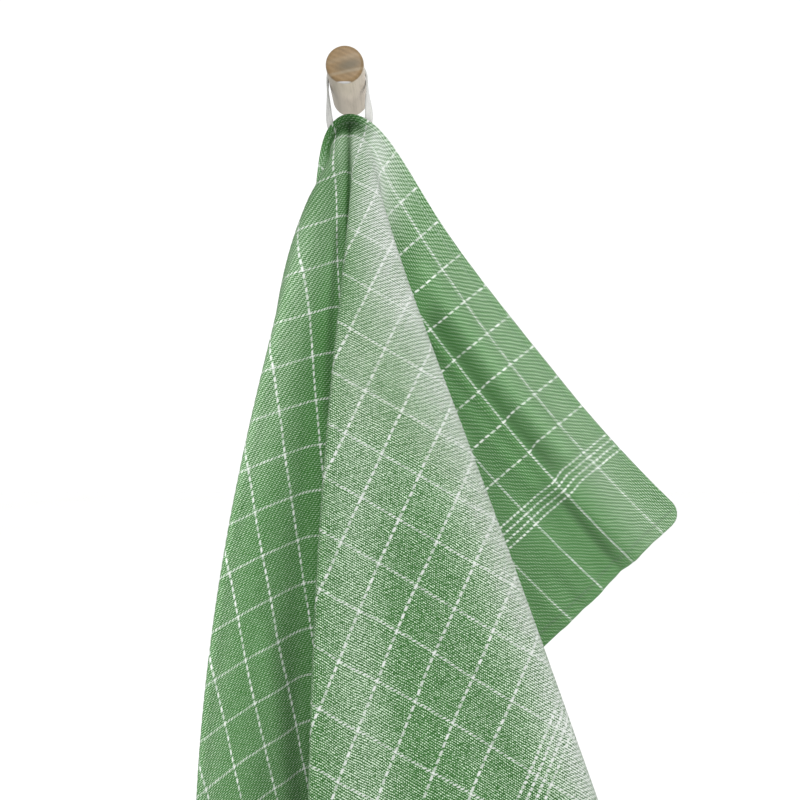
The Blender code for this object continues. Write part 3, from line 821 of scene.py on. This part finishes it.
def tape_leg(u, share, side):
    """A point on one leg of the tape: share 0 at its sewn end, 1 beside the peg."""
    across = math.copysign(1.0, u)
    seat = (SOLID_HEM_THICKNESS + TAPE_THICKNESS) / 2 + SEAT_CLEARANCE
    edge_u = u + side * across * TAPE_WIDTH / 2
    if share <= TAPE_SEWN_SHARE:
        v = TAPE_SEWN * (1 - share / TAPE_SEWN_SHARE)
        return hung_point(edge_u, v) + wallward_normal(edge_u, v) * seat
    start = hung_point(u, 0) + wallward_normal(u, 0) * seat
    start_edge = hung_point(edge_u, 0) + wallward_normal(edge_u, 0) * seat
    start_width = start_edge - start
    rise = (hung_point(u, 0) - hung_point(u, TAPE_SEWN / 2)).normalized()
    radius = PEG_DIAMETER / 2 + CLEARANCE + TAPE_THICKNESS / 2
    end = Vector((across * radius, TAPE_PEG_Y, 0.0))
    pull = (end - start).length / 3
    t = (share - TAPE_SEWN_SHARE) / (1 - TAPE_SEWN_SHARE)
    centre = (start * (1 - t) ** 3 + (start + rise * (LEG_BELLY * pull)) * 3 * t * (1 - t) ** 2
              + (end - Vector((0, 0, pull))) * 3 * t * t * (1 - t) + end * t ** 3)
    end_width = Vector((0, side * TAPE_WIDTH / 2, 0))
    blend = 1 - float(smooth_fade(t))
    width = start_width * (1 - blend) + end_width * blend
    if width.length > 0:
        width = width.normalized() * TAPE_WIDTH / 2 * abs(side)
    return centre + width


def tape_point(share, side):
    """A point on the tape, from its right sewn end over the peg to its left one."""
    if share < TAPE_LEG_SHARE:
        return tape_leg(TAPE_RIGHT_U, share / TAPE_LEG_SHARE, side)
    if share > 1 - TAPE_LEG_SHARE:
        return tape_leg(TAPE_LEFT_U, (1 - share) / TAPE_LEG_SHARE, side)
    angle = math.pi * (share - TAPE_LEG_SHARE) / (1 - 2 * TAPE_LEG_SHARE)
    radius = PEG_DIAMETER / 2 + CLEARANCE + TAPE_THICKNESS / 2
    return Vector((radius * math.cos(angle), TAPE_PEG_Y + side * TAPE_WIDTH / 2,
                   radius * math.sin(angle)))


print("Top of the tape:", [round(1000 * x, 1) for x in tape_point(0.5, 0)], "mm")

# %% Weave the tape
TAPE_STEPS = 120
TAPE_STRIPS = 8

tape_bm = bmesh.new()
bmesh.ops.create_grid(tape_bm, x_segments=TAPE_STEPS, y_segments=TAPE_STRIPS, size=0.5)
tape_mesh = bpy.data.meshes.new("tape_loop")
tape_flat = [(vert.co.x + 0.5, 2 * vert.co.y) for vert in tape_bm.verts]
for vert, (share, side) in zip(tape_bm.verts, tape_flat):
    vert.co = tape_point(share, side)
tape_bm.to_mesh(tape_mesh)
tape_bm.free()
tape_shares, tape_sides = np.array(tape_flat).T
add_flat_map(tape_mesh, "tape", tape_shares, tape_sides / 2 + 0.5)
tape = add_object("tape_loop", tape_mesh)
tape_body = tape.modifiers.new("tape_thickness", "SOLIDIFY")
tape_body.thickness = TAPE_THICKNESS
tape_body.offset = 0.0
tape_body.use_quality_normals = True
tape_mesh.shade_smooth()
print("Tape of", TAPE_STEPS, "steps and", TAPE_STRIPS, "strips")

# %% Finish the tape
TAPE_LENGTH_MM = 95.0
HERRINGBONE_PITCH = 0.8       # millimetres along the tape
tape_cotton = Finish("white_tape_cotton", (0.40, 0.40, 0.39), 0.85)
tape_map = tape_cotton.node("UVMap", {"uv_map": "tape"}, {})
tape_along = tape_cotton.part(tape_map, "X") * TAPE_LENGTH_MM
tape_across = tape_cotton.part(tape_map, "Y")
slant = tape_cotton.maths("PINGPONG", tape_across * 6.0, 1.5)
herringbone = tape_cotton.maths("SINE", (tape_along + slant) * (math.tau / HERRINGBONE_PITCH))
edge_shade = tape_cotton.step(abs(tape_across - 0.5), 0.36, 0.5)
tape_cloud = tape_cotton.noise(tape_map, 30.0)
tape_share = tape_cloud * 0.6 + edge_shade * 0.4
tape_colour = tape_cotton.mix(tape_share, (0.42, 0.42, 0.405, 1.0), (0.32, 0.32, 0.30, 1.0))
tape_cotton.feed(tape_cotton.shader.inputs["Base Color"], tape_colour)
tape_cotton.bump(herringbone * 0.5 + edge_shade * 0.5, 0.0002, 0.6)
tape_cotton.shader.inputs["Sheen Weight"].default_value = 0.3
tape_mesh.materials.append(tape_cotton.material)
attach(tape, "root")
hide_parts("hanging_loop")
print("Tape stands for the CAD loop")

# %% [markdown]
# ## The wooden peg
# A peg is a dowel whose front end is sanded round. The CAD peg has the right size but a plain rim,
# so it is turned again: half its outline is spun round the peg's axis, which gives the slightly
# domed face and the soft rim that handling leaves.

# %% Turn the peg
PEG_LENGTH = 0.0700
PEG_RIM_ROUND = 0.0026
FACE_DOME = 0.0006
RIM_STEPS = 8
PEG_SIDES = 96

peg_radius = PEG_DIAMETER / 2
outline = [(0.0, 0.0), (peg_radius, 0.0), (peg_radius, PEG_LENGTH * 0.5)]
for i in range(RIM_STEPS + 1):
    turn = math.pi / 2 * i / RIM_STEPS
    outline.append((peg_radius - PEG_RIM_ROUND * (1 - math.cos(turn)),
                    PEG_LENGTH - FACE_DOME - PEG_RIM_ROUND * (1 - math.sin(turn))))
outline += [(peg_radius * 0.5, PEG_LENGTH - FACE_DOME * 0.35), (0.0, PEG_LENGTH)]
peg_bm = bmesh.new()
rim = [peg_bm.verts.new((radius, -length, 0.0)) for radius, length in outline]
profile = [peg_bm.edges.new(pair) for pair in zip(rim, rim[1:])]
bmesh.ops.spin(peg_bm, geom=rim + profile, cent=(0, 0, 0), axis=(0, 1, 0), angle=math.tau,
               steps=PEG_SIDES, use_merge=True)
bmesh.ops.remove_doubles(peg_bm, verts=peg_bm.verts, dist=1e-6)
bmesh.ops.recalc_face_normals(peg_bm, faces=peg_bm.faces)
peg_mesh = bpy.data.meshes.new("wooden_peg")
peg_bm.to_mesh(peg_mesh)
peg_bm.free()
peg_mesh.shade_smooth()
peg_mesh.set_sharp_from_angle(angle=math.radians(50))
peg = add_object("wooden_peg", peg_mesh)
print("Peg of", len(peg_mesh.polygons), "faces")

# %% [markdown]
# The front is end grain: it drinks oil and turns golden brown, in rings, with a darker smudge and a
# painted pale highlight at the rim below. The sides are long grain, pale beige, with streaks along
# it.

# %% Finish the wood
LONG_GRAIN_STOPS = ((0.30, (0.32, 0.275, 0.215)), (0.52, (0.46, 0.400, 0.325)),
                    (0.72, (0.53, 0.465, 0.385)))
END_GRAIN_STOPS = ((0.2, (0.100, 0.064, 0.027)), (0.55, (0.168, 0.110, 0.052)),
                   (0.9, (0.215, 0.150, 0.083)))
SHADED_SIDE_WOOD = (0.13, 0.115, 0.080, 1.0)
SMUDGE = (0.078, 0.062, 0.036, 1.0)
SCUFF = (0.215, 0.180, 0.125, 1.0)
RIM_HIGHLIGHT = (0.46, 0.46, 0.47, 1.0)
OILED_END = (66.8, 68.4)      # millimetres from the wall, where the end grain's oil begins

wood = Finish("oiled_peg_wood", (0.42, 0.28, 0.14), 0.45)
wood_place = wood.node("TexCoord", {}, {}, output="Object")
wood_x = wood.part(wood_place, "X") * 1000
wood_y = wood.part(wood_place, "Y") * 1000
wood_z = wood.part(wood_place, "Z") * 1000
grain_place = wood.node("Mapping", {}, {"Vector": wood_place, "Scale": (1.0, 0.06, 1.0)})
grain = wood.noise(grain_place, 900.0, detail=4.0, roughness=0.6)
broad = wood.noise(grain_place, 160.0, detail=2.0)
long_share = grain * 0.45 + broad * 0.55
long_grain = wood.node("ValToRGB", {"stops": LONG_GRAIN_STOPS}, {"Fac": long_share})
# Painted shade: the shaft's long grain darkens towards its left side, away from the light.
lit_side = wood.step(wood_x, -9.5, 1.0)
long_grain = wood.mix(lit_side * 0.65 + 0.35, SHADED_SIDE_WOOD, long_grain)
ring_noise = wood.noise(wood_place, 140.0, detail=2.0) * 5.0
rings = wood.maths("SINE", wood_x * 0.9 + wood_z * 1.9 + ring_noise)
end_share = rings * 0.06 + grain * 0.35 + broad * 0.45 + 0.08
end_grain = wood.node("ValToRGB", {"stops": END_GRAIN_STOPS}, {"Fac": end_share})
smudge_x = (wood_x - 3.0) / 11.5
smudge_z = (wood_z + 1.4 - wood_x * 0.22) / 5.6
smudge = wood.step(wood.maths("SQRT", smudge_x * smudge_x + smudge_z * smudge_z), 1.15, 0.15)
end_grain = wood.mix(smudge * 0.9, end_grain, SMUDGE)
scuff_upper = wood.step(abs(wood_z - 3.0 - wood_x * 0.30 - ring_noise * 0.25), 2.4, 0.3)
scuff_lower = wood.step(abs(wood_z + 5.6 - wood_x * 0.22 - ring_noise * 0.20), 1.6, 0.2)
scuff = wood.maths("MAXIMUM", scuff_upper * 0.22, scuff_lower * 0.4)
end_grain = wood.mix(scuff, end_grain, SCUFF)
at_end = wood.step(wood_y, -OILED_END[0], -OILED_END[1])
# Painted highlight: a pale strip on the lower rim of the face, where the rim would catch a glint.
highlight_across = wood.step(abs(wood_x + 0.9), 6.0, 3.5)
highlight_below = wood.step(wood_z, -10.6, -11.2)
highlight_front = wood.step(wood_y, -67.2, -67.9)
rim_highlight_mask = highlight_across * highlight_below * highlight_front
colour = wood.mix(at_end, long_grain, end_grain)
wood.feed(wood.shader.inputs["Base Color"], wood.mix(rim_highlight_mask * 0.85, colour, RIM_HIGHLIGHT))
wood.feed(wood.shader.inputs["Roughness"], 0.42 + grain * 0.15)
wood.bump(grain * 0.6 + rings * 0.2, 0.00012, 0.5)
wood.shader.inputs["Specular IOR Level"].default_value = 0.25
wood.shader.inputs["Coat Weight"].default_value = 0.04
wood.shader.inputs["Coat Roughness"].default_value = 0.3
peg_mesh.materials.append(wood.material)
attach(peg, "root")
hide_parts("peg")
print("Peg finished")
